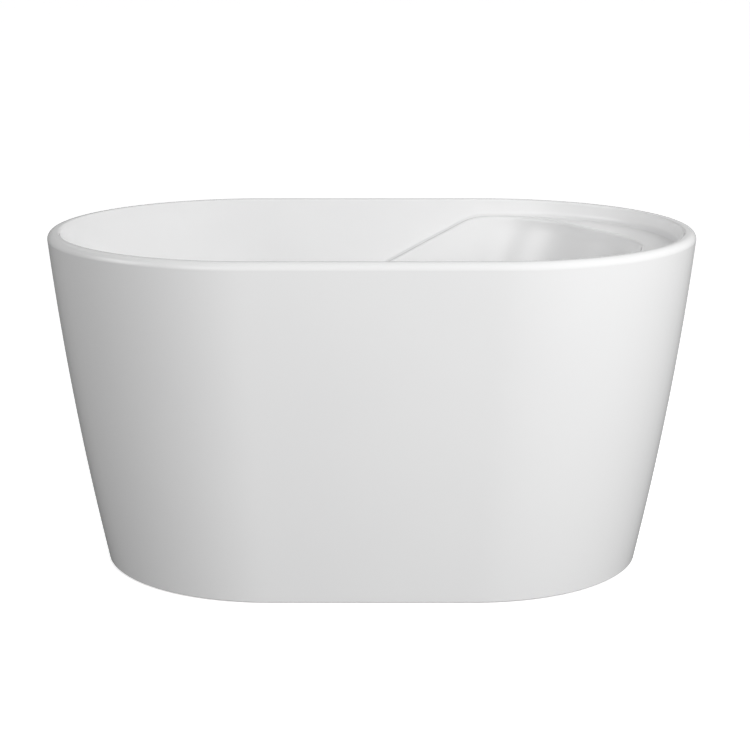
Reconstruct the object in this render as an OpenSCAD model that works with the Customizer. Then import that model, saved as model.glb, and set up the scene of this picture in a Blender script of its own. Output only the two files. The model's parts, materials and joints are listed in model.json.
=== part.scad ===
// Freestanding bathtub: an acrylic basin inside an acrylic skirt, carried by a
// steel sub-frame on five levelling feet, with a lift-up waste and a slim overflow.
// Millimetres. The origin is the centre of the footprint on the floor, +X runs to
// the backrest end and +Z is up.

/* [Overall] */
// Length over the rim
tub_length = 1200; // [1100:10:1500]
// Width over the rim
tub_width = 764; // [700:2:820]
// Height of the rim above the floor
tub_height = 626; // [560:2:680]
// Length of the footprint
base_length = 1004; // [900:4:1200]
// Width of the footprint
base_width = 636; // [560:4:700]
// Outward bulge of the wall, as a share of its lean
wall_bulge = 0.34; // [0:0.02:0.6]

/* [Rim] */
// Radius of the rim's outer edge
rim_rounding = 13; // [8:1:18]
// Radius of the rim's inner edge
lip_rounding = 4; // [2:0.5:6]
// Width of the rim seen from above
rim_thickness = 22; // [18:1:30]

/* [Shells] */
// Thickness of the basin's reinforced shell
basin_wall = 8; // [6:0.5:10]
// Thickness of the skirt
skirt_wall = 5; // [4:0.5:8]
// Gap between the skirt's lower edge and the floor
skirt_gap = 2; // [1:0.5:5]

/* [Basin interior] */
// Height of the basin floor above the room floor, at the drain
floor_height = 150; // [130:2:180]
// Rise of the basin floor from the drain to the backrest
floor_fall = 6; // [2:1:12]
// Radius between the basin's walls and its floor
floor_fillet = 80; // [50:5:100]
// Lean of the long walls in degrees
side_lean = 6; // [2:1:10]
// Lean of the toe-end wall in degrees
toe_lean = 15; // [8:1:20]
// Lean of the backrest in degrees
back_lean = 27; // [20:1:35]
// Depth of the head ledge below the rim
ledge_depth = 31.5; // [20:0.5:50]
// Width of the head ledge
ledge_width = 72; // [40:2:90]
// Extra width of the ledge halfway between the backrest's middle and its sides
ledge_spread = 10; // [0:1:20]
// Width of the step that runs down both long walls
step_width = 14; // [4:1:16]
// Slope of that step in degrees
step_slope = 28.5; // [20:0.5:40]
// Where the ledge bends down into the step, from the tub's middle
step_bend = 206; // [150:2:240]

/* [Sub-frame] */
// Outer size of the square steel tube
tube_size = 30; // [25:5:40]
// Wall of the square steel tube
tube_wall = 2; // [1.5:0.5:3]
// Height of the tubes' underside above the floor
tube_height = 45; // [40:1:50]
// Distance of each long tube from the tub's middle line
rail_offset = 190; // [170:5:210]
// Thickness of the board under the basin
board_thickness = 15; // [12:1:18]

/* [Feet] */
// Diameter of a foot pad
pad_diameter = 50; // [40:2:56]
// Height of a foot pad
pad_height = 12; // [10:1:16]
// Diameter of a foot's threaded stud
stud_diameter = 12; // [10:2:16]
// Height of the stud's top above the floor
stud_top = 104; // [96:1:110]
// Radial clearance of the stud in its nut and boss
stud_clearance = 0.06; // [0.02:0.01:0.1]

/* [Waste] */
// Distance of the drain from the tub's middle
drain_x = -285; // [-300:1:-250]
// Outer diameter of the drain flange
flange_diameter = 84; // [76:1:90]
// Outer diameter of the outlet pipe
outlet_diameter = 40; // [38:1:44]
// Height of the outlet pipe's end above the floor
outlet_end = 18; // [14:1:30]

/* [Overflow] */
// Depth of the overflow's centre below the rim
overflow_depth = 100; // [90:1:120]
// Diameter of the overflow cover
cover_diameter = 66; // [60:1:72]
// Outer diameter of the overflow pipe
overflow_pipe_diameter = 22; // [20:1:24]

/* [Hidden] */
$fn = 72;
tiny = 0.01;

// Rim and base outlines: half the straight length, and the end radius
rim_radius = tub_width / 2;
rim_straight = (tub_length - tub_width) / 2;
base_radius = base_width / 2;
base_straight = (base_length - base_width) / 2;
inner_radius = rim_radius - rim_thickness;
seam_height = tub_height - rim_rounding;

// Basin levels, measured down from the rim
floor_depth = tub_height - floor_height;
underside_height = floor_height - basin_wall;
fillet_depth = floor_depth - floor_fillet;
side_tan = tan(side_lean);
riser_height = 10;
back_start = ledge_depth + riser_height;
back_blend = 24;
fall_length = 490;
// The step has its full width past this place on the straight; the ledge starts to widen,
// and has its full width, at these angles round the end
step_full_at = 0.45;
ledge_from = 5;
ledge_full = 55;

// Perimeter columns: the wall's outward direction and the place along the straight,
// 1 at the backrest end and 0 at the toe end
arc_steps = 28;
side_steps = 10;
columns = concat(
    [for (i = [0:arc_steps - 1]) [-90 + 180 * i / arc_steps, 1]],
    [for (i = [0:side_steps - 1]) [90, 1 - i / side_steps]],
    [for (i = [0:arc_steps - 1]) [90 + 180 * i / arc_steps, 0]],
    [for (i = [0:side_steps - 1]) [270, i / side_steps]]);
skirt_columns = [for (c = columns) if (c[1] == 0 || c[1] == 1) c];

// Step from the upper wall to the lower: share of its width, and depth about its line
step_half = 8;
step_rows = [[0, -step_half], [0.03, -4.5], [0.1, -2], [0.2, -0.8], [0.55, -0.3],
             [0.9, 0.3], [0.97, 2.6], [1, step_half]];
// Where the wall's other rows lie between the step and the floor's fillet
lower_rows = [0.03, 0.08, 0.16, 0.35, 0.6, 0.82, 1];
back_rows = [0.82, 0.6, 0.35, 0.16, 0];
// How softly the ledge meets the sloping step
bend_softness = 16;

function smooth(u) = let (v = min(1, max(0, u))) v * v * (3 - 2 * v);
function shell_share(z) = let (t = z / seam_height) t + wall_bulge * t * (1 - t);
function skirt_radius(z) = base_radius + (rim_radius - base_radius) * shell_share(z);
function skirt_straight(z) = base_straight + (rim_straight - base_straight) * shell_share(z);

// Basin sections: the radius of the round ends and the two end centres at a depth
function wall_radius(d) = inner_radius - side_tan * max(0, d - lip_rounding);
function back_run(d) = let (u = d - back_start)
    u < 0 ? 0 : u < back_blend ? u * u / (2 * back_blend) : u - back_blend / 2;
function back_centre(d) = rim_straight - (tan(back_lean) - side_tan) * back_run(d);
function toe_centre(d) = -rim_straight + (tan(toe_lean) - side_tan) * d;
function centre_at(f, d) = toe_centre(d) + (back_centre(d) - toe_centre(d)) * f;

// Depth of the step's line on a column: round the backrest, and falling along the sides
function sloped_depth(f) = let (
    lag = back_start + back_blend / 2,
    start_toe = -rim_straight,
    start_back = rim_straight + (tan(back_lean) - side_tan) * lag,
    toe_rate = tan(toe_lean) - side_tan,
    back_rate = -(tan(back_lean) - side_tan),
    place = start_toe + (start_back - start_toe) * f,
    rate = toe_rate + (back_rate - toe_rate) * f)
    (ledge_depth + tan(step_slope) * (step_bend - place)) / (1 + tan(step_slope) * rate);
function softer_max(a, b, r) = (a + b + sqrt((a - b) * (a - b) + r * r)) / 2;
function arc_rise(c) = c[1] == 1 ? tan(step_slope) * inner_radius * cos(c[0]) : 0;
function step_depth(c) = softer_max(ledge_depth, sloped_depth(c[1]) - arc_rise(c), bend_softness);
function floor_reach(c) = c[1] == 1
    ? step_width + (ledge_width - step_width) * smooth((90 - abs(c[0])) / 90)
    : step_width * smooth(c[1] / step_full_at);
function step_reach(c) = let (turn = 90 - abs(c[0])) c[1] == 1
    ? step_width + (ledge_width - step_width + ledge_spread * sin(2 * turn))
        * smooth((turn - ledge_from) / (ledge_full - ledge_from))
    : step_width * smooth(c[1] / step_full_at);

// One column of the basin, from the middle of the underside, over the rim, to the floor.
// Each row is [distance from the section's centre, depth, depth that sets the centre, inside]
function basin_profile(c) = let (
    line = step_depth(c),
    reach = step_reach(c),
    change = floor_reach(c) - reach,
    share = min(1, reach / step_width),
    fillet_centre = wall_radius(fillet_depth) - reach - change
        - floor_fillet / cos(side_lean),
    outer_fillet = floor_fillet + basin_wall,
    lower_top = line + 2 * step_half,
    inner_top = line + step_half,
    upper_bottom = line - step_half)
    concat(
    [for (a = [90:-(90 - side_lean) / 5:side_lean]) let (
        d = fillet_depth + outer_fillet * sin(a))
        [fillet_centre + outer_fillet * cos(a), d, d, 0]],
    [for (u = back_rows) let (d = lower_top + (fillet_depth - lower_top) * u)
        [wall_radius(d) - reach - change * smooth(u) + basin_wall, d, d, 0]],
    [[wall_radius(line) - reach + basin_wall + 1.5 * share, line + 9.5, line + 9.5, 0],
     [wall_radius(line) + basin_wall - 5 * share, line + 8.5, line + 8.5, 0],
     [wall_radius(line) + basin_wall, line + 2, line + 2, 0]],
    [for (u = [0.5, 0]) let (d = rim_rounding + (line + 2 - rim_rounding) * u)
        [wall_radius(d) + basin_wall, d, d, 0]],
    [for (a = [0:18:90]) [rim_radius - rim_rounding * (1 - cos(a)),
        rim_rounding * (1 - sin(a)), 0, 0]],
    [for (a = [0:30:90]) [inner_radius + lip_rounding * (1 - sin(a)),
        lip_rounding * (1 - cos(a)), 0, 0]],
    [for (u = [0.3, 0.65]) let (d = lip_rounding + (upper_bottom - lip_rounding) * u)
        [wall_radius(d), d, d, 0]],
    [for (s = step_rows) let (d = line + s[1]) [wall_radius(d) - reach * s[0], d, d, 0]],
    [for (u = lower_rows) let (d = inner_top + (fillet_depth - inner_top) * u)
        [wall_radius(d) - reach - change * smooth(u), d, d, 0]],
    [for (a = [20:14:90]) let (d = fillet_depth + floor_fillet * sin(a))
        [fillet_centre + floor_fillet * cos(a), d, d, (a - side_lean) / (90 - side_lean)]]);

function floor_rise(x) = floor_fall * abs(x - drain_x) / fall_length;
function basin_point(c, row) = let (
    x = centre_at(c[1], row[2]) + row[0] * cos(c[0]))
    [x, row[0] * sin(c[0]), tub_height - row[1] + floor_rise(x) * smooth(row[3])];

// Closed skin over stacked rings of equal length
function ring_faces(rings, n) = [for (j = [0:rings - 2], i = [0:n - 1]) let (
    k = (i + 1) % n)
    each [[j * n + i, (j + 1) * n + i, (j + 1) * n + k],
          [j * n + i, (j + 1) * n + k, j * n + k]]];
// Flat strips between the mirrored points of one ring, symmetric about the X axis
function strip_faces(first, n, up) = let (middle = arc_steps / 2)
    [for (s = [0:n / 2 - 1]) let (
        far_a = first + (middle + s) % n,
        far_b = first + (middle + s + 1) % n,
        near_a = first + (middle - s + n) % n,
        near_b = first + (middle - s - 1 + n) % n)
        each up
        ? concat(s < n / 2 - 1 ? [[far_a, near_b, far_b]] : [], s > 0 ? [[far_a, near_a, near_b]] : [])
        : concat(s < n / 2 - 1 ? [[far_a, far_b, near_b]] : [], s > 0 ? [[far_a, near_b, near_a]] : [])];

module stadium(straight, radius) {
    square([2 * straight, 2 * radius], center = true);
    translate([straight, 0]) circle(radius);
    translate([-straight, 0]) circle(radius);
}

module tube(outer, inner, height) {
    difference() {
        cylinder(r = outer, h = height);
        translate([0, 0, -1]) cylinder(r = inner, h = height + 2);
    }
}

// Places what follows on the toe-end wall: X points into the basin, Z up the wall
module at_overflow() {
    translate([-rim_straight - inner_radius + tan(toe_lean) * overflow_depth, 0,
               tub_height - overflow_depth])
        rotate([0, -toe_lean, 0]) children();
}

// A disc on the X axis, from a place along it
module disc(from, thickness, radius) {
    translate([from, 0, 0]) rotate([0, 90, 0]) cylinder(r = radius, h = thickness);
}

module at_feet() {
    for (p = foot_places) translate([p[0], p[1], 0]) children();
}

// Sub-frame places
foot_places = [[-345, -rail_offset], [-345, rail_offset], [330, -rail_offset],
               [330, rail_offset], [-85, 0]];
rail_start = -375;
rail_end = 362;
cross_places = [-365, -85, 170, 330];
tube_top = tube_height + tube_size;
board_bottom = underside_height - board_thickness;
board_toe = -150;
board_back = 45;
board_half = 210;
board_corner = 150;
board_hole = 50;
block_places = [-140, -10, 120];
block_length = 40;
block_width = 30;
middle_block_y = 90;
bracket_places = [-150, 150];
stud_radius = stud_diameter / 2;
boss_radius = 10;
stud_hole = stud_radius + stud_clearance;
boss_above = 4;
lock_nut_height = 8;
foot_nut_radius = 11;
flange_top = 14;
flange_width = 30;
flange_screw_y = base_radius - 24;
bracket_thickness = 3;
bracket_width = 40;
bracket_edge = 12;
screw_radius = 2;
screw_head = 4;
head_height = 3;
flange_screw = 12;
rail_screw = 9;
cap_plate = 3;
cap_plug = 12;

// Room for the glue between the skirt's facets and the ring and flange inside it
bond_relief = 3;
bond_height = 20;
flange_relief = 0.6;

// Feet: the pad's straight edge, the pocket for the stud's ball, and the stud's hexagon
pad_edge = 6;
pad_top_radius = 14;
pocket_bottom = 5;
ball_height = 4;
hexagon_height = 6;

// Drain body: the flange's seat in the basin floor, the barrel, and the strainer hub
recess_depth = 4;
gasket_thickness = 1.5;
flange_thickness = 3;
seat_height = floor_height - recess_depth;
flange_bottom = seat_height + gasket_thickness;
drain_hole = 26;
barrel_radius = 24;
barrel_bore = 20;
barrel_end = 100;
cone_low = 22;
cone_high = 26;
hub_radius = 7;
hub_height = 12;
hub_top = 132;
leg_length = 16;
leg_width = 3;
leg_height = 8;
washer_thickness = 4;
drain_nut_height = 9;
drain_nut_radius = 38;

// Stopper: the cap, its plug, the seal under its edge, and the post in the hub
cap_radius = 31;
cap_edge = 2.5;
cap_dome = 3;
cap_flat = 26;
plug_radius = 18;
plug_bottom = 146;
seal_outer = 21.9;
seal_inner = 16;
seal_groove = 20;
seal_thickness = 2;
seal_bottom = flange_bottom + 1.3;
post_radius = 4;
post_bottom = 104;
post_length = 47;
post_foot = 5.5;

// Tee and outlet
branch_height = 92;
branch_end = -338;
outlet_radius = outlet_diameter / 2;
outlet_wall = 2.2;
outlet_free_length = 34;
collar_height = 3;
tee_bottom = 66;
tee_top = 124;
tee_radius = 25;
tee_socket = 29;
tee_bore = 17.5;
socket_step = 4;
outlet_seat = 12;
tee_ring_height = 2.5;
outlet_nut_height = 18;
outlet_nut_radius = 29;

// Overflow: the seat in the wall, the cover, the box behind the wall, and the pipe
overflow_seat = 36;
overflow_hole = 25;
cover_gap = 5;
cover_rim = 5;
cover_bevel = 2;
cover_wall = 3;
stud_circle = 28;
peg_radius = 2.5;
fixing_radius = 3;
fixing_head = 6;
seal_ring = 30;
box_front = -12;
box_depth = 15;
box_half = 30;
box_low = -40;
box_high = 30;
box_wall = 2;
spout_low = -62;
spout_half = 14;
spout_depth = 24;
window_radius = 22;
overflow_radius = overflow_pipe_diameter / 2;
overflow_bore = overflow_radius - 1.7;
pipe_offset = -24;
bend_radius = 60;

// Overflow pipe: its top, its run down the wall to the branch's level, and its bend
pipe_top = -49;
bend_turn = 90 - toe_lean;
bend_tangent = bend_radius * tan(bend_turn / 2);
pipe_run = (tub_height - overflow_depth + pipe_offset * sin(toe_lean) - branch_height)
    / cos(toe_lean);
corner_x = -rim_straight - inner_radius + tan(toe_lean) * overflow_depth
    + pipe_offset * cos(toe_lean) + pipe_run * sin(toe_lean);

// ---- Shells ----

module basin() {
    n = len(columns);
    rings = len(basin_profile(columns[0]));
    profiles = [for (c = columns) basin_profile(c)];
    points = [for (j = [0:rings - 1], i = [0:n - 1]) basin_point(columns[i], profiles[i][j])];
    color("white") difference() {
        union() {
            polyhedron(points, concat(ring_faces(rings, n), strip_faces(0, n, false),
                                      strip_faces((rings - 1) * n, n, true)), convexity = 8);
            at_overflow() disc(-10, 6, overflow_seat);
        }
        translate([drain_x, 0, seat_height]) cylinder(r = flange_diameter / 2 + 1, h = 30);
        translate([drain_x, 0, underside_height - 5]) cylinder(r = drain_hole, h = 30);
        at_overflow() disc(-1, 20, overflow_seat);
        at_overflow() disc(-20, 40, overflow_hole);
    }
}

module skirt() {
    n = len(skirt_columns);
    rows = 12;
    steps = [for (j = [0:rows]) skirt_gap + (seam_height - skirt_gap) * j / rows];
    rings = concat([for (z = steps) [z, 0]],
                   [for (j = [rows:-1:0]) [steps[j], skirt_wall]], [[skirt_gap, 0]]);
    last = len(rings) - 1;
    points = [for (r = rings, c = skirt_columns) [
        (c[1] * 2 - 1) * skirt_straight(r[0]) + (skirt_radius(r[0]) - r[1]) * cos(c[0]),
        (skirt_radius(r[0]) - r[1]) * sin(c[0]), r[0]]];
    loop = [for (f = ring_faces(last + 1, n)) [for (v = f) v % (last * n)]];
    color("white") polyhedron([for (k = [0:last * n - 1]) points[k]], loop, convexity = 8);
}

module rim_bond() {
    color("gainsboro") translate([0, 0, seam_height - bond_height])
        linear_extrude(bond_height) difference() {
            stadium(rim_straight, rim_radius - skirt_wall - bond_relief);
            stadium(rim_straight, inner_radius + basin_wall - 0.6);
        }
}

module basin_board() {
    color("burlywood") translate([0, 0, board_bottom]) linear_extrude(board_thickness)
        difference() {
            union() {
                translate([board_toe, 0]) circle(board_half);
                translate([board_toe, -board_half])
                    square([board_back - board_toe, 2 * board_half]);
                for (s = [-1, 1]) translate([board_back, s * (board_half - board_corner)])
                    circle(board_corner);
                translate([board_back, board_corner - board_half])
                    square([board_corner, 2 * (board_half - board_corner)]);
            }
            translate([drain_x, 0]) circle(board_hole);
        }
}

module base_flange() {
    color("burlywood") difference() {
        translate([0, 0, skirt_gap]) linear_extrude(flange_top - skirt_gap) difference() {
            stadium(base_straight, base_radius - skirt_wall - flange_relief);
            stadium(base_straight, base_radius - skirt_wall - flange_width);
        }
        for (x = bracket_places, s = [-1, 1])
            translate([x, s * flange_screw_y, flange_top + bracket_thickness - flange_screw])
                cylinder(r = screw_radius, h = flange_screw);
    }
}

// ---- Sub-frame ----

module square_tube(length) {
    difference() {
        translate([0, -tube_size / 2, 0]) cube([length, tube_size, tube_size]);
        translate([-1, tube_wall - tube_size / 2, tube_wall])
            cube([length + 2, tube_size - 2 * tube_wall, tube_size - 2 * tube_wall]);
    }
}

module rail(side) {
    color("dimgray") difference() {
        translate([rail_start, side * rail_offset, tube_height])
            square_tube(rail_end - rail_start);
        at_feet() cylinder(r = boss_radius, h = 200);
        for (x = bracket_places)
            translate([x, side * rail_offset, tube_height + tube_size / 2])
                rotate([-90 * side, 0, 0]) cylinder(r = screw_radius, h = tube_size);
    }
}

module frame_rail_front() { rail(-1); }
module frame_rail_rear() { rail(1); }

module cross(n) {
    length = 2 * rail_offset - tube_size;
    color("dimgray") difference() {
        translate([cross_places[n], -length / 2, tube_height]) rotate([0, 0, 90])
            square_tube(length);
        at_feet() cylinder(r = boss_radius, h = 200);
    }
}

module frame_cross_toe() { cross(0); }
module frame_cross_middle() { cross(1); }
module frame_cross_seat() { cross(2); }
module frame_cross_back() { cross(3); }

module rail_end_caps() {
    inside = tube_size - 2 * tube_wall;
    color("black") for (s = [-1, 1], e = [0, 1])
        translate([e ? rail_end : rail_start, s * rail_offset, tube_height + tube_size / 2])
            rotate([0, e ? 90 : -90, 0]) {
                translate([0, 0, cap_plate / 2])
                    cube([tube_size, tube_size, cap_plate], center = true);
                translate([0, 0, -cap_plug / 2])
                    cube([inside, inside, cap_plug], center = true);
            }
}

module block_at(x, y) {
    translate([x - block_length / 2, y - block_width / 2, tube_top])
        cube([block_length, block_width, board_bottom - tube_top]);
}

module support_blocks_front() {
    color("burlywood") for (x = block_places) block_at(x, -rail_offset);
}
module support_blocks_rear() {
    color("burlywood") for (x = block_places) block_at(x, rail_offset);
}
module support_blocks_middle() {
    color("burlywood") for (s = [-1, 1]) block_at(cross_places[1], s * middle_block_y);
}

module bracket(x, side) {
    foot_length = flange_screw_y + bracket_edge - rail_offset - tube_size / 2;
    edge = rail_offset + tube_size / 2;
    difference() {
        union() {
            translate([x - bracket_width / 2, side > 0 ? edge : -edge - bracket_thickness,
                       flange_top])
                cube([bracket_width, bracket_thickness, tube_top - flange_top]);
            translate([x - bracket_width / 2, side > 0 ? edge : -edge - foot_length, flange_top])
                cube([bracket_width, foot_length, bracket_thickness]);
        }
        translate([x, side * flange_screw_y, 0]) cylinder(r = screw_radius, h = 40);
        translate([x, side * edge, tube_height + tube_size / 2]) rotate([90, 0, 0])
            cylinder(r = screw_radius, h = 20, center = true);
    }
}

module skirt_brackets_front() {
    color("silver") for (x = bracket_places) bracket(x, -1);
}
module skirt_brackets_rear() {
    color("silver") for (x = bracket_places) bracket(x, 1);
}

module bracket_screws() {
    outside = rail_offset + tube_size / 2 + bracket_thickness;
    color("silver") for (x = bracket_places, s = [-1, 1]) {
        translate([x, s * flange_screw_y, flange_top + bracket_thickness]) {
            cylinder(r = screw_head, h = head_height);
            translate([0, 0, -flange_screw]) cylinder(r = screw_radius, h = flange_screw + tiny);
        }
        translate([x, s * outside, tube_height + tube_size / 2]) rotate([-90 * s, 0, 0]) {
            cylinder(r = screw_head, h = head_height);
            translate([0, 0, -rail_screw]) cylinder(r = screw_radius, h = rail_screw + tiny);
        }
    }
}

module foot_bosses() {
    color("dimgray") at_feet() translate([0, 0, tube_height])
        tube(boss_radius, stud_hole, tube_size + boss_above);
}

module foot_lock_nuts() {
    color("silver") at_feet() translate([0, 0, tube_height - lock_nut_height]) difference() {
        cylinder(r = foot_nut_radius, h = lock_nut_height, $fn = 6);
        translate([0, 0, -1]) cylinder(r = stud_hole, h = lock_nut_height + 2);
    }
}

// ---- Feet ----

module foot_pad(n) {
    color("black") translate([foot_places[n][0], foot_places[n][1], 0]) difference() {
        union() {
            cylinder(r = pad_diameter / 2, h = pad_edge);
            translate([0, 0, pad_edge])
                cylinder(r1 = pad_diameter / 2 - 2, r2 = pad_top_radius, h = pad_height - pad_edge);
        }
        translate([0, 0, pocket_bottom]) cylinder(r = stud_radius + 2, h = pad_height);
    }
}

module foot_stud(n) {
    color("silver") translate([foot_places[n][0], foot_places[n][1], 0]) {
        translate([0, 0, pocket_bottom]) cylinder(r = stud_radius + 2, h = ball_height);
        translate([0, 0, pocket_bottom + ball_height - tiny])
            cylinder(r = stud_radius, h = stud_top - pocket_bottom - ball_height);
        translate([0, 0, pad_height + 1])
            cylinder(r = foot_nut_radius, h = hexagon_height, $fn = 6);
    }
}

module foot_pad_1() { foot_pad(0); }
module foot_pad_2() { foot_pad(1); }
module foot_pad_3() { foot_pad(2); }
module foot_pad_4() { foot_pad(3); }
module foot_pad_5() { foot_pad(4); }
module foot_stud_1() { foot_stud(0); }
module foot_stud_2() { foot_stud(1); }
module foot_stud_3() { foot_stud(2); }
module foot_stud_4() { foot_stud(3); }
module foot_stud_5() { foot_stud(4); }

// ---- Waste ----

module drain_body() {
    color("silver") translate([drain_x, 0, 0]) {
        difference() {
            union() {
                translate([0, 0, flange_bottom]) cylinder(r = flange_diameter / 2, h = flange_thickness);
                translate([0, 0, barrel_end])
                    cylinder(r = barrel_radius, h = flange_bottom - barrel_end + 1);
            }
            translate([0, 0, barrel_end - 1]) cylinder(r = barrel_bore, h = 60);
            translate([0, 0, flange_bottom + 1]) cylinder(r1 = cone_low, r2 = cone_high, h = 3);
        }
        difference() {
            translate([0, 0, hub_top - hub_height]) {
                cylinder(r = hub_radius, h = hub_height);
                for (a = [0, 120, 240]) rotate([0, 0, a])
                    translate([hub_radius - 2, -leg_width / 2, 0])
                        cube([leg_length, leg_width, leg_height]);
            }
            translate([0, 0, hub_top - 20]) cylinder(r = post_radius + 0.05, h = 30);
        }
    }
}

module drain_gasket() {
    color("black") translate([drain_x, 0, seat_height])
        tube(flange_diameter / 2 - 2, drain_hole, gasket_thickness);
}

module drain_washer() {
    color("black") translate([drain_x, 0, underside_height - washer_thickness])
        tube(35, barrel_radius, washer_thickness);
}

module drain_nut() {
    bottom = underside_height - washer_thickness - drain_nut_height;
    color("goldenrod") translate([drain_x, 0, bottom]) difference() {
        cylinder(r = drain_nut_radius, h = drain_nut_height, $fn = 6);
        translate([0, 0, -1]) cylinder(r = barrel_radius, h = drain_nut_height + 2);
    }
}

module waste_tee() {
    color("whitesmoke") difference() {
        union() {
            translate([drain_x, 0, tee_bottom])
                cylinder(r = tee_radius, h = barrel_end - tee_bottom);
            translate([drain_x, 0, barrel_end - socket_step])
                cylinder(r = tee_socket, h = tee_top - barrel_end + socket_step);
            translate([branch_end, 0, branch_height]) rotate([0, 90, 0])
                cylinder(r = overflow_radius + 4, h = drain_x - branch_end);
        }
        translate([drain_x, 0, tee_bottom - 1]) cylinder(r = tee_bore, h = 60);
        translate([drain_x, 0, tee_bottom - 1]) cylinder(r = outlet_radius, h = outlet_seat + 1);
        translate([drain_x, 0, barrel_end]) cylinder(r = barrel_radius, h = 60);
        translate([branch_end - 1, 0, branch_height]) rotate([0, 90, 0])
            cylinder(r = overflow_bore, h = drain_x - branch_end);
        translate([branch_end - 1, 0, branch_height]) rotate([0, 90, 0])
            cylinder(r = overflow_radius, h = 20);
    }
}

module tee_ring() {
    color("black") translate([drain_x, 0, tee_top])
        tube(tee_socket, barrel_radius, tee_ring_height);
}

module outlet_pipe() {
    inner = outlet_radius - outlet_wall;
    color("whitesmoke") translate([drain_x, 0, outlet_end]) {
        tube(outlet_radius, inner, tee_bottom + outlet_seat - outlet_end);
        translate([0, 0, outlet_free_length]) tube(outlet_radius + 2, inner, collar_height);
    }
}

module outlet_washer() {
    color("black") translate([drain_x, 0, tee_bottom - 3])
        tube(tee_radius - 1, outlet_radius, 3);
}

module outlet_nut() {
    lip = 6;
    color("whitesmoke") translate([drain_x, 0, tee_bottom - lip - 3]) difference() {
        cylinder(r = outlet_nut_radius, h = outlet_nut_height, $fn = 8);
        translate([0, 0, -1]) cylinder(r = outlet_radius + 0.2, h = outlet_nut_height);
        translate([0, 0, lip]) cylinder(r = tee_radius, h = outlet_nut_height);
    }
}

module stopper_cap() {
    cap_bottom = flange_bottom + flange_thickness + 0.5;
    color("silver") translate([drain_x, 0, 0]) difference() {
        union() {
            translate([0, 0, cap_bottom]) cylinder(r = cap_radius, h = cap_edge);
            translate([0, 0, cap_bottom + cap_edge])
                cylinder(r1 = cap_radius, r2 = cap_flat, h = cap_dome);
            translate([0, 0, plug_bottom])
                cylinder(r = plug_radius, h = cap_bottom - plug_bottom + 0.5);
        }
        translate([0, 0, plug_bottom - 1])
            cylinder(r = post_radius, h = post_bottom + post_length - plug_bottom + 1);
        translate([0, 0, seal_bottom]) tube(seal_groove, seal_inner, seal_thickness);
    }
}

module stopper_seal() {
    color("black") translate([drain_x, 0, seal_bottom])
        tube(seal_outer, seal_inner, seal_thickness);
}

module stopper_post() {
    color("goldenrod") translate([drain_x, 0, post_bottom]) {
        cylinder(r = post_radius, h = post_length);
        cylinder(r = post_foot, h = 4);
    }
}

// Coil spring under the cap, round the post, at rest on the hub
module stopper_spring() {
    turns = 4;
    per_turn = 16;
    sides = 6;
    coil = 6.4;
    wire = 0.7;
    rise = plug_bottom - hub_top - 2 * wire;
    count = turns * per_turn;
    points = [for (i = [0:count], k = [0:sides - 1]) let (
        a = 360 * i / per_turn,
        b = 360 * k / sides,
        r = coil + wire * cos(b))
        [r * cos(a), r * sin(a), wire + rise * i / count + wire * sin(b)]];
    skin = [for (i = [0:count - 1], k = [0:sides - 1]) let (m = (k + 1) % sides)
        each [[i * sides + k, (i + 1) * sides + m, (i + 1) * sides + k],
              [i * sides + k, i * sides + m, (i + 1) * sides + m]]];
    ends = [[for (k = [sides - 1:-1:0]) k], [for (k = [0:sides - 1]) count * sides + k]];
    color("silver") translate([drain_x, 0, hub_top]) polyhedron(points, concat(skin, ends));
}

// ---- Overflow ----

module overflow_cover() {
    outer = cover_diameter / 2;
    inner = outer - cover_wall;
    face = cover_gap + cover_rim;
    color("silver") at_overflow() rotate([0, 90, 0]) difference() {
        union() {
            translate([0, 0, cover_gap]) cylinder(r = outer, h = cover_rim);
            translate([0, 0, face]) cylinder(r1 = outer, r2 = inner, h = cover_bevel);
            for (a = [45:90:315]) rotate([0, 0, a]) translate([stud_circle, 0, -1])
                cylinder(r = peg_radius, h = cover_gap + 2);
        }
        translate([0, 0, cover_gap - 1]) cylinder(r = inner, h = cover_rim - 1.5);
        translate([0, 0, -2]) cylinder(r = fixing_radius, h = 20);
    }
}

module overflow_screw() {
    face = cover_gap + cover_rim + cover_bevel;
    color("silver") at_overflow() {
        disc(face, 2.5, fixing_head);
        disc(-10, face + 10 + tiny, fixing_radius);
    }
}

module overflow_gasket() {
    color("black") at_overflow() translate([box_front, 0, 0]) rotate([0, 90, 0])
        tube(seal_ring, overflow_hole, 2);
}

module overflow_body() {
    color("whitesmoke") at_overflow() difference() {
        union() {
            translate([box_front - box_depth, -box_half, box_low])
                cube([box_depth, 2 * box_half, box_high - box_low]);
            translate([pipe_offset - spout_depth / 2, -spout_half, spout_low])
                cube([spout_depth, 2 * spout_half, spout_depth]);
            disc(box_front - 1, 11, overflow_hole - 0.2);
        }
        translate([box_front - box_depth + box_wall, box_wall - box_half, box_low + box_wall])
            cube([box_depth - 2 * box_wall, 2 * (box_half - box_wall),
                  box_high - box_low - 2 * box_wall]);
        difference() {
            disc(box_front - 3, 20, window_radius);
            translate([box_front - 4, -2.5, -30]) cube([6, 5, 60]);
            disc(box_front - 4, 8, 5);
        }
        disc(box_front - 4, 30, fixing_radius);
        translate([pipe_offset, 0, spout_low - 1])
            cylinder(r = overflow_radius, h = pipe_top - spout_low + 1);
        translate([pipe_offset, 0, spout_low - 1]) cylinder(r = overflow_bore, h = 27);
    }
}

module overflow_pipe_upper() {
    length = pipe_run - bend_tangent - 1 + pipe_top;
    color("whitesmoke") at_overflow() translate([pipe_offset, 0, pipe_top - length])
        tube(overflow_radius, overflow_bore, length);
}

module overflow_pipe_lower() {
    start = corner_x + bend_tangent + 1;
    color("whitesmoke") translate([start, 0, branch_height]) rotate([0, 90, 0])
        tube(overflow_radius, overflow_bore, branch_end + 19 - start);
}

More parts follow.
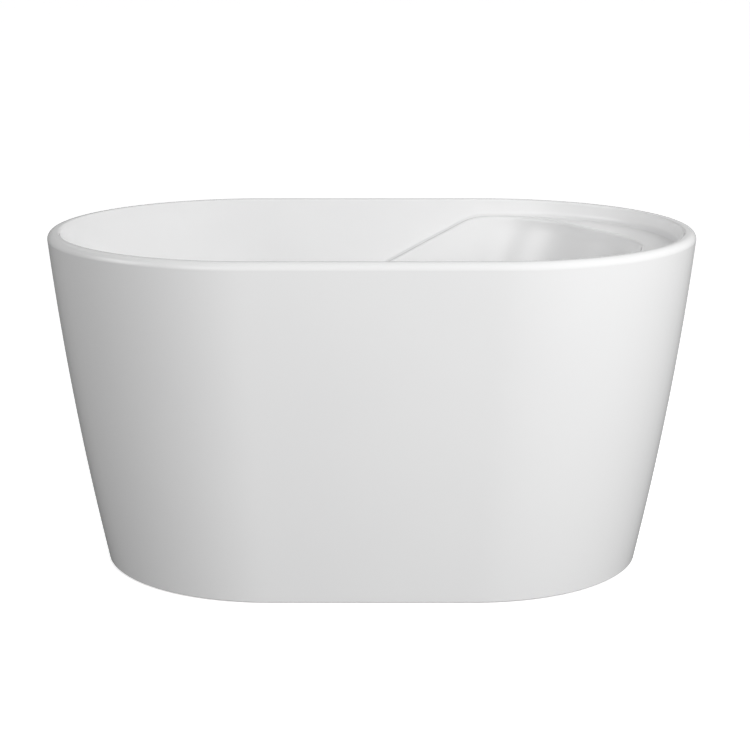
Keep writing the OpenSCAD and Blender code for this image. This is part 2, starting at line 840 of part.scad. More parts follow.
// Elbow with a socket at each end. Each station is [angle round the bend, run past it, radius]
module overflow_elbow() {
    sides = 36;
    socket = 14;
    wide = overflow_radius + 2.6;
    slim = overflow_radius + 1.4;
    bore = overflow_radius + 0.05;
    bend = [for (a = [0:bend_turn / 12:bend_turn + tiny]) a];
    back = [for (a = [bend_turn:-bend_turn / 12:-tiny]) a];
    stations = concat(
        [[0, -socket, wide], [0, 0, wide]], [for (a = bend) [a, 0, slim]],
        [[bend_turn, 0, wide], [bend_turn, socket, wide], [bend_turn, socket, bore],
         [bend_turn, 1, bore], [bend_turn, 1, overflow_bore]],
        [for (a = back) [a, 0, overflow_bore]],
        [[0, -1, overflow_bore], [0, -1, bore], [0, -socket, bore], [0, -socket, wide]]);
    last = len(stations) - 1;
    points = [for (k = [0:last - 1], i = [0:sides - 1]) let (
        s = stations[k],
        b = -360 * i / sides,
        out = bend_radius + s[2] * cos(b))
        [out * cos(s[0]) - s[1] * sin(s[0]), out * sin(s[0]) + s[1] * cos(s[0]),
         s[2] * sin(b)]];
    loop = [for (f = ring_faces(last + 1, sides)) [for (v = f) v % (last * sides)]];
    color("whitesmoke") translate([corner_x + bend_tangent, 0, branch_height + bend_radius])
        rotate([90, 0, 0]) rotate([0, 0, -90 - bend_turn]) polyhedron(points, loop);
}

module overflow_nut(bore) {
    difference() {
        cylinder(r = 15, h = 12);
        translate([0, 0, -1]) cylinder(r = bore, h = 14);
        for (a = [0:45:315]) rotate([0, 0, a]) translate([16, 0, -1]) cylinder(r = 2, h = 14);
    }
}

module overflow_nut_top() {
    color("whitesmoke") at_overflow() translate([pipe_offset, 0, -75])
        overflow_nut(overflow_radius);
}

module overflow_nut_low() {
    color("whitesmoke") translate([branch_end, 0, branch_height]) rotate([0, -90, 0])
        difference() {
            translate([0, 0, -10]) cylinder(r = 19, h = 18);
            translate([0, 0, -11]) cylinder(r = overflow_radius + 4, h = 11);
            translate([0, 0, -11]) cylinder(r = overflow_radius, h = 22);
            for (a = [0:45:315]) rotate([0, 0, a]) translate([20, 0, -11]) cylinder(r = 2, h = 22);
        }
}

basin();
skirt();
rim_bond();
basin_board();
base_flange();
frame_rail_front();
frame_rail_rear();
frame_cross_toe();
frame_cross_middle();
frame_cross_seat();
frame_cross_back();
rail_end_caps();
support_blocks_front();
support_blocks_rear();
support_blocks_middle();
skirt_brackets_front();
skirt_brackets_rear();
bracket_screws();
foot_bosses();
foot_lock_nuts();
foot_pad_1();
foot_pad_2();
foot_pad_3();
foot_pad_4();
foot_pad_5();
foot_stud_1();
foot_stud_2();
foot_stud_3();
foot_stud_4();
foot_stud_5();
drain_body();
drain_gasket();
drain_washer();
drain_nut();
waste_tee();
tee_ring();
outlet_pipe();
outlet_washer();
outlet_nut();
stopper_cap();
stopper_seal();
stopper_post();
stopper_spring();
overflow_cover();
overflow_screw();
overflow_gasket();
overflow_body();
overflow_pipe_upper();
overflow_elbow();
overflow_pipe_lower();
overflow_nut_top();
overflow_nut_low();
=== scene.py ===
"""Looks of the freestanding bathtub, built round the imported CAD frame. Metres, +X to the backrest, +Z up."""
import json
import math

import bpy
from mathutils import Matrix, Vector


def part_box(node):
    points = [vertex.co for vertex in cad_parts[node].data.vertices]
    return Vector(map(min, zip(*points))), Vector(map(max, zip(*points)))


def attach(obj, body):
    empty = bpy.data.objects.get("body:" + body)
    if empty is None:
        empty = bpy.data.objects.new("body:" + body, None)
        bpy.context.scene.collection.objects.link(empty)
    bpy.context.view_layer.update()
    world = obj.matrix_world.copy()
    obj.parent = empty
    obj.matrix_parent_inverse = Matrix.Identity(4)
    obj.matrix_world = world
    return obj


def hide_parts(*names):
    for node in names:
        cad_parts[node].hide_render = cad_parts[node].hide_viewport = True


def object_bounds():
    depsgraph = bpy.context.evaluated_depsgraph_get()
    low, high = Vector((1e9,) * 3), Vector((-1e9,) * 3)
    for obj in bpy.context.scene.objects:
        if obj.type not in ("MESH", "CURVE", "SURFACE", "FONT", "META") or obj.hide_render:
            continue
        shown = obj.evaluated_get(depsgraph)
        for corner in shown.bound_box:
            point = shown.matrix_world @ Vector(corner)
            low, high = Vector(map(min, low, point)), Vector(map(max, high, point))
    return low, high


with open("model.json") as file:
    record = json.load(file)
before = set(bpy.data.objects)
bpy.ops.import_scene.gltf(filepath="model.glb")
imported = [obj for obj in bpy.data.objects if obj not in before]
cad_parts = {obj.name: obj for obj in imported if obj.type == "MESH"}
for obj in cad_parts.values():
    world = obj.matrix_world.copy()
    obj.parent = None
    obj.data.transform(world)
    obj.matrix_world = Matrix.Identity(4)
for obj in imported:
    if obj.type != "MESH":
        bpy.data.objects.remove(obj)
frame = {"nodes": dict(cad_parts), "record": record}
cad_low, cad_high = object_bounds()

# Body that the shells ride on
TUB = "tub"

# ---- Sizes: the frame's, and beside them the driving sizes of the CAD design ----
LENGTH = cad_high.x - cad_low.x
WIDTH = cad_high.y - cad_low.y
HEIGHT = cad_high.z
RIM_RADIUS = WIDTH / 2
RIM_STRAIGHT = (LENGTH - WIDTH) / 2
BASE_RADIUS = 0.318
BASE_STRAIGHT = 0.184
WALL_BULGE = 0.34
RIM_ROUNDING = 0.013
LIP_ROUNDING = 0.004
RIM_THICKNESS = 0.022
INNER_RADIUS = RIM_RADIUS - RIM_THICKNESS
SEAM_HEIGHT = HEIGHT - RIM_ROUNDING
SKIRT_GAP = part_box("skirt")[0].z
SKIRT_WALL = 0.005
SKIRT_EDGE = 0.0012
BASIN_WALL = 0.008

# Leans of the walls from upright, and the slope of the step down the long walls
SIDE_LEAN = math.radians(6)
TOE_LEAN = math.radians(15)
SIDE_TAN = math.tan(SIDE_LEAN)
TOE_TAN = math.tan(TOE_LEAN)
BACK_TAN = math.tan(math.radians(27))
STEP_TAN = math.tan(math.radians(28.5))

FLOOR_HEIGHT = 0.150
FLOOR_FALL = 0.006
FALL_LENGTH = 0.490
FLOOR_FILLET = 0.080
FLOOR_DEPTH = HEIGHT - FLOOR_HEIGHT
FILLET_DEPTH = FLOOR_DEPTH - FLOOR_FILLET

# Head ledge, and the step that runs on from it. The ledge widens between two angles round the end
LEDGE_DEPTH = 0.0315
LEDGE_WIDTH = 0.072
LEDGE_SPREAD = 0.010
LEDGE_FALL = 0.0015
LEDGE_FROM = 5
LEDGE_FULL = 55
BEND_SOFTNESS = 0.016
STEP_WIDTH = 0.014
STEP_BEND = 0.206
STEP_FULL_AT = 0.45
RISER_HEIGHT = 0.010
BACK_START = LEDGE_DEPTH + RISER_HEIGHT
BACK_BLEND = 0.024

# Radii of the hollow above the step and of the edge below it, on the step and on the ledge.
# Where the step fades out they keep their share of the least width
STEP_HOLLOW = 0.0075
LEDGE_HOLLOW = 0.010
STEP_EDGE = 0.0050
LEDGE_EDGE = 0.0055
LEAST_WIDTH = 0.0135

# Back of the step: how far below its line the lower wall ends, the shelf's two corners lie and the
# upper wall ends, and how far the two corners stand off the walls
BACK_LOWER_END = 0.016
BACK_LOW_CORNER = 0.0095
BACK_HIGH_CORNER = 0.0085
BACK_UPPER_END = 0.002
BACK_LOW_OFFSET = 0.0015
BACK_HIGH_OFFSET = 0.005

# Waste and overflow: the flat seats of their flanges, and the holes
DRAIN = (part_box("drain_body")[0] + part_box("drain_body")[1]) / 2
DRAIN_SEAT_DEPTH = 0.004
DRAIN_SEAT_RADIUS = 0.043
DRAIN_HOLE_RADIUS = 0.026
OVERFLOW_DEPTH = 0.100
OVERFLOW_SEAT_DEPTH = 0.001
OVERFLOW_SEAT_RADIUS = 0.036
OVERFLOW_HOLE_RADIUS = 0.025
CUT_LENGTH = 0.06

# Studs of the levelling feet: a ball end, whose profile gives heights and shares of its radius,
# a hexagon with chamfered corners, and a thread that is cut down at its end
STUD_RADIUS = 0.006
STUD_SHANK = STUD_RADIUS * 0.93
BALL_RADIUS = 0.008
BALL_PROFILE = [(0, 0.5), (0.0004, 0.8), (0.0012, 0.96), (0.002, 1), (0.003, 0.93)]
BALL_TOP = 0.004
THREAD_PITCH = 0.00175
THREAD_DEPTH = 0.0008
THREAD_END = 0.0015
THREAD_END_CUT = 0.75
HEX_BOTTOM = 0.013
HEX_HEIGHT = 0.006
HEX_CORNER = 0.011
HEX_CHAMFER = 0.0009
HEX_FACE = 0.90

# How finely the shells and studs are divided, and the angles that stay sharp
ARC_STEPS = 112
SIDE_STEPS = 40
OUTER_FILLET_ROWS = 8
OUTER_WALL_ROWS = 13
RIM_ROWS = 10
LIP_ROWS = 6
UPPER_WALL_ROWS = 8
STEP_ARC_ROWS = 8
LEDGE_ROWS = 6
LOWER_WALL_ROWS = 40
LOWER_WALL_CROWDING = 1.5
FLOOR_FILLET_ROWS = 16
SKIRT_ROWS = 60
SKIRT_INSIDE_STRIDE = 5
CUT_SIDES = 96
STUD_SIDES = 24
RINGS_PER_TURN = 4
SHELL_SHARP = 30
STUD_SHARP = 18

# Camera and floor
CAMERA_PLACE = (0, -3.7878, 1.2333)
CAMERA_TILT = 13.222
CAMERA_LENS = 98.717
CAMERA_SHIFT = 0.00435
SENSOR_WIDTH = 36
FLOOR_SIZE = 60
FLOOR_GLOW = 0.60

# Soft studio lobes of the sky: direction they shine from, how narrow they are, and strength
LOBES = [
    ((0.8, 0.6, 0.2), 6, 0.50),
    ((0, 0.8, 0.6), 6, 0.55),
    ((0, -0.8, -0.6), 6, 0.45),
    ((-0.85, 0.5, 0.2), 16, 0.50),
    ((-0.45, -0.85, 0.35), 40, 1.7),
    ((-0.93, -0.2, 0.37), 40, 2.8),
]
# Soft boxes: name, place, side of the square, and power. All point at the middle of the tub
SOFT_BOXES = [
    ("key_right", (3.2, -2.2, 2.4), 2.5, 95),
    ("front_high", (0, -4.65, 2.25), 1.6, 15),
    ("front_high_right", (2.25, -4.25, 2.15), 1.6, 100),
]
LIGHT_AIM = (0, 0, 0.4)


def smooth(u):
    """Eases from 0 to 1."""
    v = min(1.0, max(0.0, u))
    return v * v * (3 - 2 * v)


def mix(a, b, u):
    return a + (b - a) * u


def softer_max(a, b, r):
    """The larger of two values, with the corner between them rounded over about r."""
    return (a + b + math.sqrt((a - b) ** 2 + r * r)) / 2


# ---- Shell formulas ----
def shell_share(z):
    """How far the wall has opened out from the footprint to the rim at a height."""
    t = z / SEAM_HEIGHT
    return t + WALL_BULGE * t * (1 - t)


def skirt_radius(z):
    return mix(BASE_RADIUS, RIM_RADIUS, shell_share(z))


def skirt_straight(z):
    return mix(BASE_STRAIGHT, RIM_STRAIGHT, shell_share(z))


def wall_radius(d):
    """End radius of the upper wall at a depth. The lower wall stands in from it by the step's reach."""
    return INNER_RADIUS - SIDE_TAN * max(0.0, d - LIP_ROUNDING)


def back_run(d):
    """Depth below the start of the backrest, which its lean grows into."""
    u = d - BACK_START
    if u < 0:
        return 0.0
    return u * u / (2 * BACK_BLEND) if u < BACK_BLEND else u - BACK_BLEND / 2


def centre_at(f, d):
    """Centre of the section at a depth, for a place along the straight: 0 at the toe end, 1 at the back."""
    toe = -RIM_STRAIGHT + (TOE_TAN - SIDE_TAN) * d
    back = RIM_STRAIGHT - (BACK_TAN - SIDE_TAN) * back_run(d)
    return mix(toe, back, f)


def sloped_depth(f):
    """Depth of the step's line at a place f along the straight, from the slope that it has."""
    back = RIM_STRAIGHT + (BACK_TAN - SIDE_TAN) * (BACK_START + BACK_BLEND / 2)
    place = mix(-RIM_STRAIGHT, back, f)
    rate = mix(TOE_TAN - SIDE_TAN, SIDE_TAN - BACK_TAN, f)
    return (LEDGE_DEPTH + STEP_TAN * (STEP_BEND - place)) / (1 + STEP_TAN * rate)


def step_depth(angle, f):
    """Depth of the step's line, which bends softly into the level ledge round the backrest."""
    slope = sloped_depth(f)
    if f == 1:
        slope -= STEP_TAN * INNER_RADIUS * math.cos(math.radians(angle))
    return softer_max(LEDGE_DEPTH, slope, BEND_SOFTNESS)


def step_reach(angle, f):
    """How far the ledge or step stands in from the upper wall."""
    if f < 1:
        return STEP_WIDTH * smooth(f / STEP_FULL_AT)
    turn = 90 - abs(angle)
    wide = LEDGE_WIDTH - STEP_WIDTH + LEDGE_SPREAD * math.sin(math.radians(2 * turn))
    return STEP_WIDTH + wide * smooth((turn - LEDGE_FROM) / (LEDGE_FULL - LEDGE_FROM))


def floor_reach(angle, f):
    """The same at the foot of the wall, where the outline is rounder."""
    if f < 1:
        return STEP_WIDTH * smooth(f / STEP_FULL_AT)
    return mix(STEP_WIDTH, LEDGE_WIDTH, smooth((90 - abs(angle)) / 90))


def columns():
    """Directions of the wall round the rim, each with its place along the straight."""
    arc = [180 * i / ARC_STEPS for i in range(ARC_STEPS)]
    side = [i / SIDE_STEPS for i in range(SIDE_STEPS)]
    return (
        [(a - 90, 1) for a in arc]
        + [(90, 1 - s) for s in side]
        + [(a + 90, 0) for a in arc]
        + [(270, s) for s in side]
    )


def arc_rows(n):
    """Angles of a quarter turn in n steps."""
    return [math.pi / 2 * i / n for i in range(n + 1)]


def step_shape(reach, line):
    """Rows of the step or ledge: (share of reach, depth) down a hollow, the ledge and a round edge."""
    k = min(1.0, max(0.0, (reach - STEP_WIDTH) / (LEDGE_WIDTH - STEP_WIDTH)))
    hollow = mix(STEP_HOLLOW, LEDGE_HOLLOW, k)
    edge = mix(STEP_EDGE, LEDGE_EDGE, k)
    fall = LEDGE_FALL * k
    width = max(reach, LEAST_WIDTH)
    arc = arc_rows(STEP_ARC_ROWS)
    rows = [(hollow * (1 - math.cos(a)) / width, line - hollow * (1 - math.sin(a))) for a in arc]
    start, end = hollow / width, 1 - edge / width
    for i in range(1, LEDGE_ROWS):
        rows.append((mix(start, end, i / LEDGE_ROWS), line + fall * i / LEDGE_ROWS))
    for a in arc:
        rows.append((1 - edge * (1 - math.sin(a)) / width, line + fall + edge * (1 - math.cos(a))))
    return rows, line - hollow, line + fall + edge


def outside_rows(line, reach, change, centre):
    """Rows of the basin's hidden side, from the middle of its underside up to the rim."""
    radius = FLOOR_FILLET + BASIN_WALL
    share = min(1.0, reach / STEP_WIDTH)
    rows = []
    for i in range(OUTER_FILLET_ROWS + 1):
        a = mix(math.pi / 2, SIDE_LEAN, i / OUTER_FILLET_ROWS)
        d = FILLET_DEPTH + radius * math.sin(a)
        rows.append((centre + radius * math.cos(a), d, d, 0))
    for i in range(OUTER_WALL_ROWS):
        u = 1 - (i + 1) / OUTER_WALL_ROWS
        d = mix(line + BACK_LOWER_END, FILLET_DEPTH, u)
        rows.append((wall_radius(d) - reach - change * smooth(u) + BASIN_WALL, d, d, 0))
    wall = wall_radius(line) + BASIN_WALL
    d = line + BACK_LOW_CORNER
    rows.append((wall - reach + BACK_LOW_OFFSET * share, d, d, 0))
    d = line + BACK_HIGH_CORNER
    rows.append((wall - BACK_HIGH_OFFSET * share, d, d, 0))
    for u in (1, 0.5, 0):
        d = mix(RIM_ROUNDING, line + BACK_UPPER_END, u)
        rows.append((wall_radius(d) + BASIN_WALL, d, d, 0))
    return rows


def rim_rows():
    """Rows round the rim's outer edge and its inner lip."""
    rows = []
    for a in arc_rows(RIM_ROWS):
        out = RIM_RADIUS - RIM_ROUNDING * (1 - math.cos(a))
        rows.append((out, RIM_ROUNDING * (1 - math.sin(a)), 0, 0))
    for a in arc_rows(LIP_ROWS):
        out = INNER_RADIUS + LIP_ROUNDING * (1 - math.sin(a))
        rows.append((out, LIP_ROUNDING * (1 - math.cos(a)), 0, 0))
    return rows


def inside_rows(line, reach, change, centre):
    """Rows of the basin's visible side, from under the lip down to the floor."""
    step, top, bottom = step_shape(reach, line)
    rows = []
    for i in range(1, UPPER_WALL_ROWS):
        d = mix(LIP_ROUNDING, top, i / UPPER_WALL_ROWS)
        rows.append((wall_radius(d), d, d, 0))
    for part, d in step:
        rows.append((wall_radius(d) - reach * part, d, d, 0))
    for i in range(1, LOWER_WALL_ROWS + 1):
        u = (i / LOWER_WALL_ROWS) ** LOWER_WALL_CROWDING
        d = mix(bottom, FILLET_DEPTH, u)
        rows.append((wall_radius(d) - reach - change * smooth(u), d, d, 0))
    for i in range(1, FLOOR_FILLET_ROWS + 1):
        a = mix(SIDE_LEAN, math.pi / 2, i / FLOOR_FILLET_ROWS)
        d = FILLET_DEPTH + FLOOR_FILLET * math.sin(a)
        rows.append((centre + FLOOR_FILLET * math.cos(a), d, d, i / FLOOR_FILLET_ROWS))
    return rows


def basin_profile(angle, f):
    """One column of the basin, from the underside's middle over the rim to the floor.
    Each row is (distance from the section's centre, depth, depth that sets the centre, floor share)."""
    line = step_depth(angle, f)
    reach = step_reach(angle, f)
    change = floor_reach(angle, f) - reach
    centre = wall_radius(FILLET_DEPTH) - reach - change - FLOOR_FILLET / math.cos(SIDE_LEAN)
    return (
        outside_rows(line, reach, change, centre)
        + rim_rows()
        + inside_rows(line, reach, change, centre)
    )


def basin_point(angle, f, row):
    """Where a row of the profile lies. The floor rises away from the drain, and the rows of its fillet
    take a growing share of that rise."""
    out, depth, centre_depth, floor_share = row
    a = math.radians(angle)
    x = centre_at(f, centre_depth) + out * math.cos(a)
    rise = FLOOR_FALL * abs(x - DRAIN.x) / FALL_LENGTH
    return (x, out * math.sin(a), HEIGHT - depth + rise * smooth(floor_share))


# ---- Mesh helpers ----
def new_object(name, verts, faces, material, body=TUB):
    mesh = bpy.data.meshes.new(name)
    mesh.from_pydata(verts, [], faces)
    mesh.validate()
    mesh.shade_smooth()
    mesh.materials.append(material)
    obj = bpy.data.objects.new(name, mesh)
    bpy.context.scene.collection.objects.link(obj)
    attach(obj, body)
    return obj


def ring_faces(rings, n, closed=False):
    """Four-sided faces between rings of n points each. Closed joins the last ring to the first."""
    faces = []
    for j in range(rings if closed else rings - 1):
        for i in range(n):
            k, m = (i + 1) % n, (j + 1) % rings
            faces.append((j * n + i, j * n + k, m * n + k, m * n + i))
    return faces


def strip_faces(first, n, up):
    """Flat strips between the mirrored points of one ring."""
    middle, faces = ARC_STEPS // 2, []
    for s in range(n // 2):
        far = [first + (middle + s) % n, first + (middle + s + 1) % n]
        near = [first + (middle - s) % n, first + (middle - s - 1) % n]
        face = [far[0], far[1], near[1], near[0]] if up else [near[0], near[1], far[1], far[0]]
        face = [v for i, v in enumerate(face) if v not in face[:i]]
        faces.append(tuple(face))
    return faces


def keep_sharp(obj, angle):
    """Keeps hard edges where the faces turn more than the angle."""
    obj.data.set_sharp_from_angle(angle=math.radians(angle))


def cut_round(obj, start, direction, radius):
    """Takes a round recess or hole out of a piece, from a point on its axis along a direction."""
    centre = start + direction * CUT_LENGTH / 2
    bpy.ops.mesh.primitive_cylinder_add(vertices=CUT_SIDES, radius=radius, depth=CUT_LENGTH, location=centre)
    cutter = bpy.context.object
    cutter.rotation_mode = "QUATERNION"
    cutter.rotation_quaternion = direction.to_track_quat("Z", "Y")
    cutter.data.materials.append(obj.data.materials[0])
    change = obj.modifiers.new("cut", "BOOLEAN")
    change.operation = "DIFFERENCE"
    change.solver = "EXACT"
    change.object = cutter
    bpy.context.view_layer.objects.active = obj
    bpy.ops.object.modifier_apply(modifier=change.name)
    bpy.data.objects.remove(cutter)


# ---- Materials ----
def start_material(name):
    material = bpy.data.materials.new(name)
    material.use_nodes = True
    tree = material.node_tree
    return material, tree, tree.nodes["Principled BSDF"]


def node(tree, kind, **inputs):
    made = tree.nodes.new(kind)
    for key, value in inputs.items():
        made.inputs[key.replace("_", " ")].default_value = value
    return made


def noise(tree, scale, detail=4.0, roughness=0.5):
    coords = tree.nodes.new("ShaderNodeTexCoord")
    made = node(tree, "ShaderNodeTexNoise", Scale=scale, Detail=detail, Roughness=roughness)
    tree.links.new(coords.outputs["Object"], made.inputs["Vector"])
    return made


def ramp(tree, source, low, high, start=0.3, end=0.7):
    made = tree.nodes.new("ShaderNodeValToRGB")
    made.color_ramp.elements[0].position = start
    made.color_ramp.elements[1].position = end
    made.color_ramp.elements[0].color = (*low, 1)
    made.color_ramp.elements[1].color = (*high, 1)
    tree.links.new(source.outputs["Fac"], made.inputs["Fac"])
    return made


def span(tree, source, low, high):
    made = node(tree, "ShaderNodeMapRange", To_Min=low, To_Max=high)
    tree.links.new(source.outputs["Fac"], made.inputs["Value"])
    return made


def bump(tree, shader, source, strength, distance):
    made = node(tree, "ShaderNodeBump", Strength=strength, Distance=distance)
    tree.links.new(source.outputs["Fac"], made.inputs["Height"])
    tree.links.new(made.outputs["Normal"], shader.inputs["Normal"])


def gloss_acrylic():
    material, tree, shader = start_material("gloss_acrylic")
    tone = ramp(tree, noise(tree, 3.0), (0.800, 0.800, 0.802), (0.815, 0.815, 0.815))
    tree.links.new(tone.outputs["Color"], shader.inputs["Base Color"])
    rough = span(tree, noise(tree, 40.0, 3.0), 0.06, 0.11)
    tree.links.new(rough.outputs["Result"], shader.inputs["Roughness"])
    bump(tree, shader, noise(tree, 14.0, 2.0), 0.04, 0.0015)
    shader.inputs["IOR"].default_value = 1.49
    shader.inputs["Coat Weight"].default_value = 0.3
    shader.inputs["Coat Roughness"].default_value = 0.04
    return material


def metal(name, low, high, rough_low, rough_high, scale=60.0):
    material, tree, shader = start_material(name)
    tone = ramp(tree, noise(tree, scale), low, high)
    tree.links.new(tone.outputs["Color"], shader.inputs["Base Color"])
    rough = span(tree, noise(tree, scale * 3, 6.0), rough_low, rough_high)
    tree.links.new(rough.outputs["Result"], shader.inputs["Roughness"])
    bump(tree, shader, noise(tree, scale * 6, 3.0), 0.05, 0.0005)
    shader.inputs["Metallic"].default_value = 1.0
    return material


def plain_moulding(name, low, high, rough_low, rough_high, grain=400.0, strength=0.15):
    material, tree, shader = start_material(name)
    tone = ramp(tree, noise(tree, 20.0), low, high)
    tree.links.new(tone.outputs["Color"], shader.inputs["Base Color"])
    rough = span(tree, noise(tree, 90.0), rough_low, rough_high)
    tree.links.new(rough.outputs["Result"], shader.inputs["Roughness"])
    bump(tree, shader, noise(tree, grain, 2.0), strength, 0.0004)
    return material


def plywood():
    material, tree, shader = start_material("plywood")
    coords = tree.nodes.new("ShaderNodeTexCoord")
    stretch = tree.nodes.new("ShaderNodeMapping")
    stretch.inputs["Scale"].default_value = (1.2, 14.0, 90.0)
    grain = node(tree, "ShaderNodeTexNoise", Scale=6.0, Detail=9.0, Roughness=0.62, Distortion=0.6)
    tree.links.new(coords.outputs["Object"], stretch.inputs["Vector"])
    tree.links.new(stretch.outputs["Vector"], grain.inputs["Vector"])
    tone = ramp(tree, grain, (0.30, 0.17, 0.07), (0.62, 0.43, 0.23), 0.25, 0.75)
    tree.links.new(tone.outputs["Color"], shader.inputs["Base Color"])
    rough = span(tree, grain, 0.55, 0.8)
    tree.links.new(rough.outputs["Result"], shader.inputs["Roughness"])
    bump(tree, shader, grain, 0.25, 0.0006)
    return material


acrylic = gloss_acrylic()
chrome = metal("polished_chrome", (0.72, 0.73, 0.74), (0.80, 0.80, 0.81), 0.05, 0.10, 30.0)
zinc = metal("zinc_plate", (0.50, 0.51, 0.53), (0.66, 0.67, 0.68), 0.28, 0.45)
brass = metal("machined_brass", (0.60, 0.42, 0.15), (0.74, 0.55, 0.24), 0.22, 0.38)
tube_paint = plain_moulding("tube_paint", (0.016, 0.016, 0.018), (0.03, 0.03, 0.032), 0.35, 0.5, 250, 0.2)
black_plastic = plain_moulding("black_moulding", (0.012, 0.012, 0.012), (0.022, 0.022, 0.022), 0.5, 0.65)
rubber = plain_moulding("seal_rubber", (0.010, 0.010, 0.010), (0.020, 0.020, 0.020), 0.7, 0.85)
pipe_plastic = plain_moulding("pipe_plastic", (0.60, 0.60, 0.58), (0.68, 0.68, 0.66), 0.35, 0.5, 200.0, 0.08)
paste = plain_moulding("bonding_paste", (0.50, 0.50, 0.47), (0.60, 0.60, 0.57), 0.6, 0.8, 120.0, 0.5)
board = plywood()

SLOT_MATERIALS = {
    "acrylic": acrylic,
    "bonding_paste": paste,
    "plywood": board,
    "painted_tube": tube_paint,
    "black_plastic": black_plastic,
    "zinc_steel": zinc,
    "chrome": chrome,
    "brass": brass,
    "seal_rubber": rubber,
    "white_pipe": pipe_plastic,
}


def dress_cad_nodes():
    """Gives every CAD node the material of its slot."""
    for part in frame["record"]["subparts"]:
        obj = frame["nodes"][part["node"]]
        for place in obj.material_slots:
            place.material = SLOT_MATERIALS[part["material_slot"]]


# ---- Shells ----
def make_basin():
    cols = columns()
    n = len(cols)
    profiles = [basin_profile(a, f) for a, f in cols]
    rings = len(profiles[0])
    verts = [basin_point(*cols[i], profiles[i][j]) for j in range(rings) for i in range(n)]
    faces = ring_faces(rings, n) + strip_faces(0, n, False) + strip_faces((rings - 1) * n, n, True)
    basin = new_object("basin_shell", verts, faces, acrylic)
    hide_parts("basin")
    up = Vector((0, 0, 1))
    seat = Vector((DRAIN.x, 0, FLOOR_HEIGHT - DRAIN_SEAT_DEPTH))
    cut_round(basin, seat, up, DRAIN_SEAT_RADIUS)
    cut_round(basin, seat - up * CUT_LENGTH / 2, up, DRAIN_HOLE_RADIUS)
    wall = Vector((-RIM_STRAIGHT - INNER_RADIUS + TOE_TAN * OVERFLOW_DEPTH, 0, HEIGHT - OVERFLOW_DEPTH))
    out = Vector((math.cos(TOE_LEAN), 0, math.sin(TOE_LEAN)))
    cut_round(basin, wall - out * OVERFLOW_SEAT_DEPTH, out, OVERFLOW_SEAT_RADIUS)
    cut_round(basin, wall - out * CUT_LENGTH / 2, out, OVERFLOW_HOLE_RADIUS)
    keep_sharp(basin, SHELL_SHARP)


def make_skirt():
    cols = [c for c in columns() if c[1] in (0, 1)]
    levels = [mix(SKIRT_GAP, SEAM_HEIGHT, i / SKIRT_ROWS) for i in range(SKIRT_ROWS + 1)]
    rings = [(SKIRT_GAP, SKIRT_EDGE), (SKIRT_GAP + SKIRT_EDGE, 0)]
    rings += [(z, 0) for z in levels[1:]]
    rings += [(z, SKIRT_WALL) for z in levels[::-SKIRT_INSIDE_STRIDE]]
    verts = []
    for z, inset in rings:
        straight, radius = skirt_straight(z), skirt_radius(z) - inset
        for a, f in cols:
            angle = math.radians(a)
            verts.append(((2 * f - 1) * straight + radius * math.cos(angle), radius * math.sin(angle), z))
    skirt = new_object("skirt_shell", verts, ring_faces(len(rings), len(cols), closed=True), acrylic)
    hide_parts("skirt")
    keep_sharp(skirt, SHELL_SHARP)


# ---- Levelling feet ----
def hexagon(angle, corner):
    """Distance to a hexagon's side, with a corner at angle 0."""
    return corner * math.cos(math.pi / 6) / math.cos(angle % (math.pi / 3) - math.pi / 6)


def stud_rings(low, high):
    """Rings of a foot's stud from its ball end up: the height and a radius for each direction."""
    turns = [2 * math.pi * i / STUD_SIDES for i in range(STUD_SIDES)]
    shank = [STUD_SHANK] * STUD_SIDES
    rings = [(low + h, [BALL_RADIUS * share] * STUD_SIDES) for h, share in BALL_PROFILE]
    rings += [(low + BALL_TOP, shank), (HEX_BOTTOM, shank)]
    start = HEX_BOTTOM + HEX_HEIGHT
    for z, cut in (
        (HEX_BOTTOM, HEX_FACE),
        (HEX_BOTTOM + HEX_CHAMFER, 1),
        (start - HEX_CHAMFER, 1),
        (start, HEX_FACE),
    ):
        rings.append((z, [min(hexagon(a, HEX_CORNER), HEX_CORNER * cut) for a in turns]))
    rings.append((start, shank))
    count = round((high - start) / THREAD_PITCH * RINGS_PER_TURN)
    for i in range(1, count + 1):
        z = mix(start, high, i / count)
        least = THREAD_END_CUT - (high - z) / THREAD_END
        ring = []
        for a in turns:
            phase = (z / THREAD_PITCH - a / (2 * math.pi)) % 1
            ring.append(STUD_RADIUS - THREAD_DEPTH * max(0, least, abs(2 * phase - 1)))
        rings.append((z, ring))
    return rings


def make_stud(number):
    part = "foot_stud_%d" % number
    low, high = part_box(part)
    centre = (low + high) / 2
    rings = stud_rings(low.z, high.z)
    verts = []
    for z, ring in rings:
        for i, radius in enumerate(ring):
            a = 2 * math.pi * i / STUD_SIDES
            verts.append((centre.x + radius * math.cos(a), centre.y + radius * math.sin(a), z))
    last = (len(rings) - 1) * STUD_SIDES
    faces = ring_faces(len(rings), STUD_SIDES)
    faces += [tuple(reversed(range(STUD_SIDES))), tuple(range(last, last + STUD_SIDES))]
    stud = new_object("threaded_stud_%d" % number, verts, faces, zinc, "foot_%d" % number)
    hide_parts(part)
    keep_sharp(stud, STUD_SHARP)


dress_cad_nodes()
make_basin()
make_skirt()
for number in range(1, 6):
    make_stud(number)


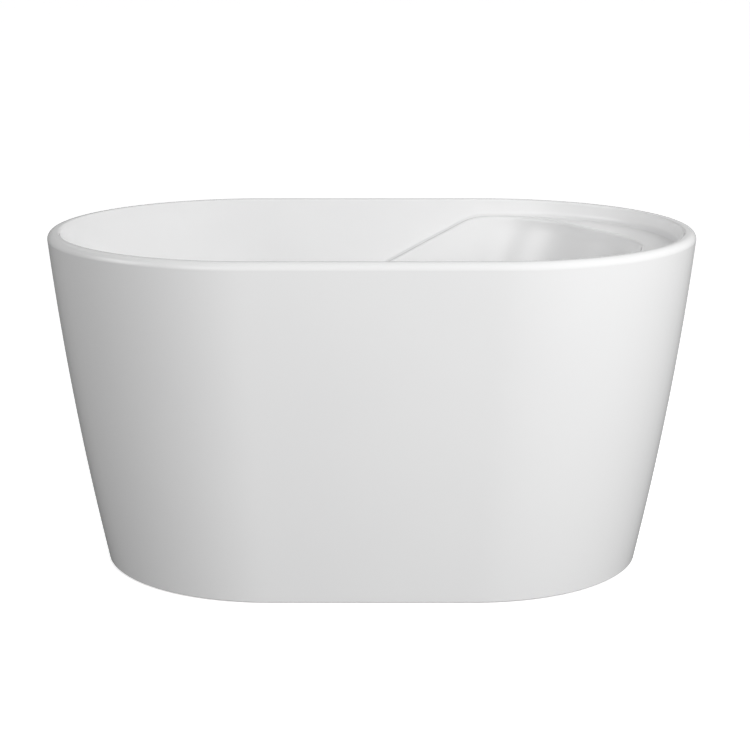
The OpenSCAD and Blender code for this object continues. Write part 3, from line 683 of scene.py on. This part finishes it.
# ---- Floor, light and camera ----
def make_floor():
    material, tree, shader = start_material("pale_floor")
    tone = ramp(tree, noise(tree, 2.0), (0.95, 0.95, 0.95), (0.97, 0.97, 0.97))
    tree.links.new(tone.outputs["Color"], shader.inputs["Base Color"])
    shader.inputs["Roughness"].default_value = 0.9
    shader.inputs["Specular IOR Level"].default_value = 0.1
    shader.inputs["Emission Color"].default_value = (1, 1, 1, 1)
    shader.inputs["Emission Strength"].default_value = FLOOR_GLOW
    material.cycles.emission_sampling = "NONE"
    bpy.ops.mesh.primitive_plane_add(size=FLOOR_SIZE, location=(0, 0, 0))
    floor = bpy.context.object
    floor.name = "floor"
    floor.data.materials.append(material)
    floor.visible_diffuse = False
    floor.visible_glossy = False
    floor.visible_shadow = False


def soft_box(name, place, size, power):
    data = bpy.data.lights.new(name, "AREA")
    data.shape = "SQUARE"
    data.size = size
    data.energy = power
    light = bpy.data.objects.new(name, data)
    light.location = place
    light.rotation_mode = "QUATERNION"
    light.rotation_quaternion = (Vector(LIGHT_AIM) - Vector(place)).to_track_quat("-Z", "Y")
    light.visible_camera = False
    light.visible_glossy = False
    bpy.context.scene.collection.objects.link(light)


def lobe(tree, axis, narrow, strength):
    """Strength times ((1 + cos) / 2) to the power narrow, round an axis."""
    coords = tree.nodes.new("ShaderNodeTexCoord")
    facing = tree.nodes.new("ShaderNodeVectorMath")
    facing.operation = "DOT_PRODUCT"
    facing.inputs[1].default_value = Vector(axis).normalized()
    tree.links.new(coords.outputs["Generated"], facing.inputs[0])
    source = facing.outputs["Value"]
    for operation, value in (("ADD", 1), ("MULTIPLY", 0.5), ("POWER", narrow), ("MULTIPLY", strength)):
        step = tree.nodes.new("ShaderNodeMath")
        step.operation = operation
        step.inputs[1].default_value = value
        tree.links.new(source, step.inputs[0])
        source = step.outputs[0]
    return source


def make_light():
    world = bpy.data.worlds.new("studio")
    bpy.context.scene.world = world
    world.use_nodes = True
    tree = world.node_tree
    total = None
    for axis, narrow, strength in LOBES:
        part = lobe(tree, axis, narrow, strength)
        if total is not None:
            add = tree.nodes.new("ShaderNodeMath")
            tree.links.new(total, add.inputs[0])
            tree.links.new(part, add.inputs[1])
            part = add.outputs[0]
        total = part
    tree.links.new(total, tree.nodes["Background"].inputs["Strength"])
    tree.nodes["Background"].inputs["Color"].default_value = (1, 1, 1, 1)
    for name, place, size, power in SOFT_BOXES:
        soft_box(name, place, size, power)


def make_camera():
    data = bpy.data.cameras.new("camera")
    data.sensor_width = SENSOR_WIDTH
    data.lens = CAMERA_LENS
    data.shift_x = CAMERA_SHIFT
    camera = bpy.data.objects.new("camera", data)
    camera.location = CAMERA_PLACE
    camera.rotation_euler = (math.radians(90 - CAMERA_TILT), 0, 0)
    bpy.context.scene.collection.objects.link(camera)
    bpy.context.scene.camera = camera


make_floor()
make_light()
make_camera()
bpy.context.scene.view_settings.view_transform = "Standard"
